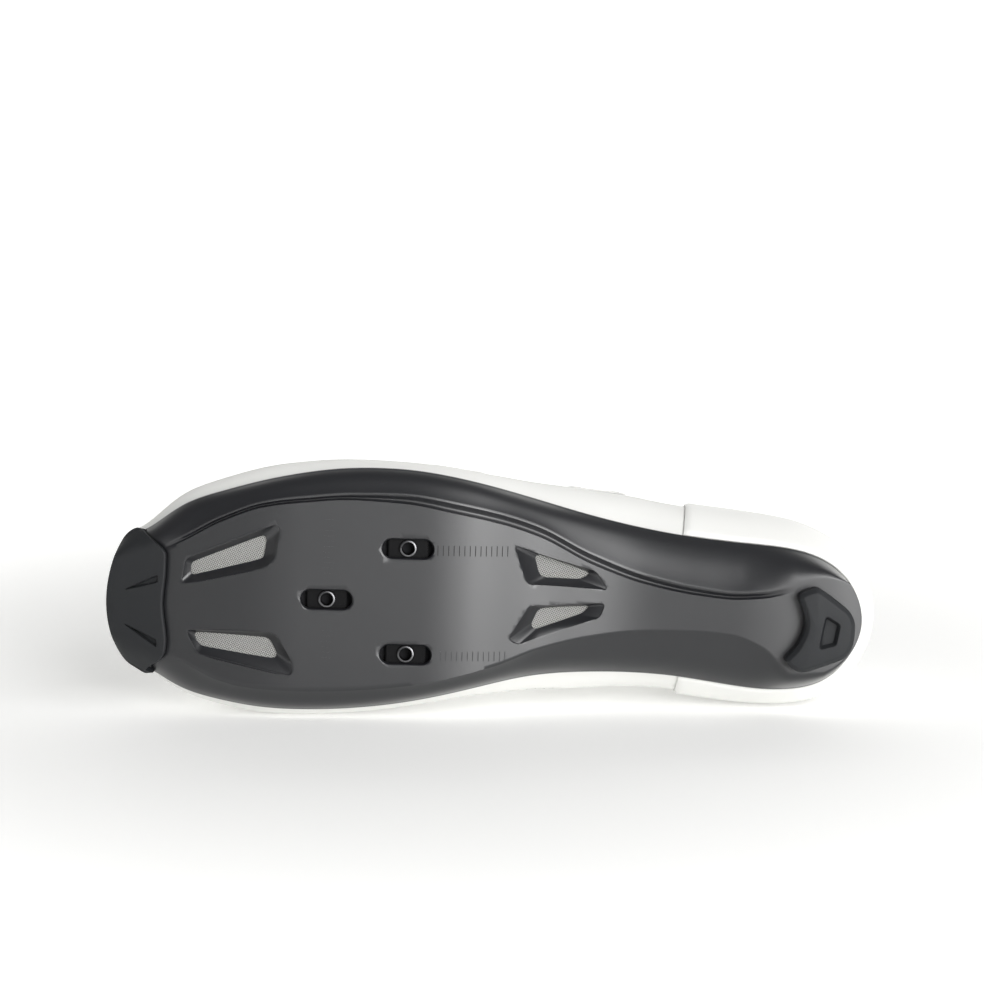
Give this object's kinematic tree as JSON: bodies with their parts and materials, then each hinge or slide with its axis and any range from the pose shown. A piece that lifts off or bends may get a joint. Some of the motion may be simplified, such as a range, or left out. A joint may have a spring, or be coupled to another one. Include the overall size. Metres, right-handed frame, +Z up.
{
  "type": "cycling shoe",
  "caption": "Left road cycling shoe lying on its inner side: stiff vented sole plate with sliding cleat nuts, rubber pads, hollow white upper, heel cup, tongue and straps.",
  "frame": {"origin": "middle of the footprint of the shoe's box, on the floor that it lies on", "axes": "-X towards the toe, -Y out of the sole, +Z up, which is the outer side of the shoe"},
  "size_m": [0.2768, 0.105, 0.0911],
  "materials": {
    "composite": "satin moulded fibre composite",
    "pad_rubber": "matt moulded rubber",
    "nut_steel": "blackened",
    "foam": "knit faced foam",
    "upper_sheet": "satin coated microfibre",
    "cup_shell": "satin film",
    "lining": "padded mesh",
    "strap_sheet": "satin coated microfibre"
  },
  "bodies": {
    "shoe": {"sole_plate": "composite", "toe_pad": "pad_rubber", "heel_pad": "pad_rubber", "insole": "foam", "upper": "upper_sheet", "heel_cup": "cup_shell", "tongue": "lining", "instep_strap": "strap_sheet", "forefoot_strap": "strap_sheet"},
    "nut_front": {"cleat_nut_front": "nut_steel"},
    "nut_rear_outer": {"cleat_nut_rear_outer": "nut_steel"},
    "nut_rear_inner": {"cleat_nut_rear_inner": "nut_steel"}
  },
  "joints": [
    {"name": "front_nut_slide", "type": "slide", "parent": "shoe", "child": "nut_front", "axis": [-0.9998, 0, 0.0211], "range_m": [-0.0056, 0.0056]},
    {"name": "rear_outer_nut_slide", "type": "slide", "parent": "shoe", "child": "nut_rear_outer", "axis": [-0.9998, 0, 0.0211], "range_m": [-0.0056, 0.0056]},
    {"name": "rear_inner_nut_slide", "type": "slide", "parent": "shoe", "child": "nut_rear_inner", "axis": [-0.9998, 0, 0.0211], "range_m": [-0.0056, 0.0056]}
  ]
}
